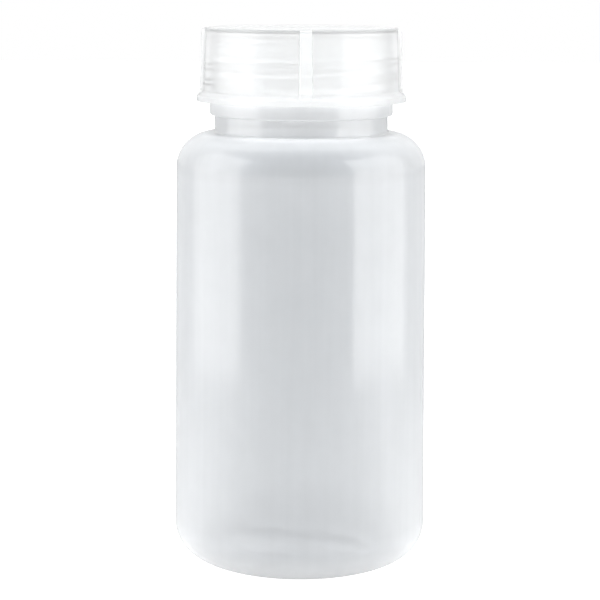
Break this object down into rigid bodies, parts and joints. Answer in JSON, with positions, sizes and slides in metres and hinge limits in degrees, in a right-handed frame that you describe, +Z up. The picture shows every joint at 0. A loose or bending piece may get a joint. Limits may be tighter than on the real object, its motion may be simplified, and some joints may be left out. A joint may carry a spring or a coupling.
{
  "type": "wide-neck reagent bottle with screw cap",
  "caption": "Round wide-neck plastic laboratory bottle with a ribbed screw cap that unscrews and lifts off, and a loose sealing liner in the cap.",
  "frame": {"origin": "centre of the base, on the plane the bottle stands on", "axes": "+Z up along the bottle's axis, from the base to the cap; -Y towards the front, the side with the cap rib that faces the viewer"},
  "size_m": [0.0932, 0.0932, 0.1954],
  "materials": {
    "bottle_plastic": "natural low-density polyethylene, translucent, smooth and slightly milky",
    "cap_plastic": "natural polyolefin, translucent, smooth moulded surface",
    "liner_plastic": "natural white polyethylene, soft"
  },
  "bodies": {
    "vessel": {"bottle": "bottle_plastic"},
    "liner": {"sealing_liner": "liner_plastic"},
    "cap": {"screw_cap": "cap_plastic"}
  },
  "joints": [
    {"name": "cap_lift", "type": "slide", "parent": "vessel", "child": "liner", "axis": [0, 0, 1], "range_m": [0, 0.0309]},
    {"name": "cap_turn", "type": "hinge", "parent": "liner", "child": "cap", "pos_m": [0, 0, 0.18], "axis": [0, 0, 1], "range_deg": [0, 1980]}
  ],
  "couplings": [
    {"joint": "cap_lift", "follows": "cap_turn", "m_per_rad": 0.00089127}
  ]
}
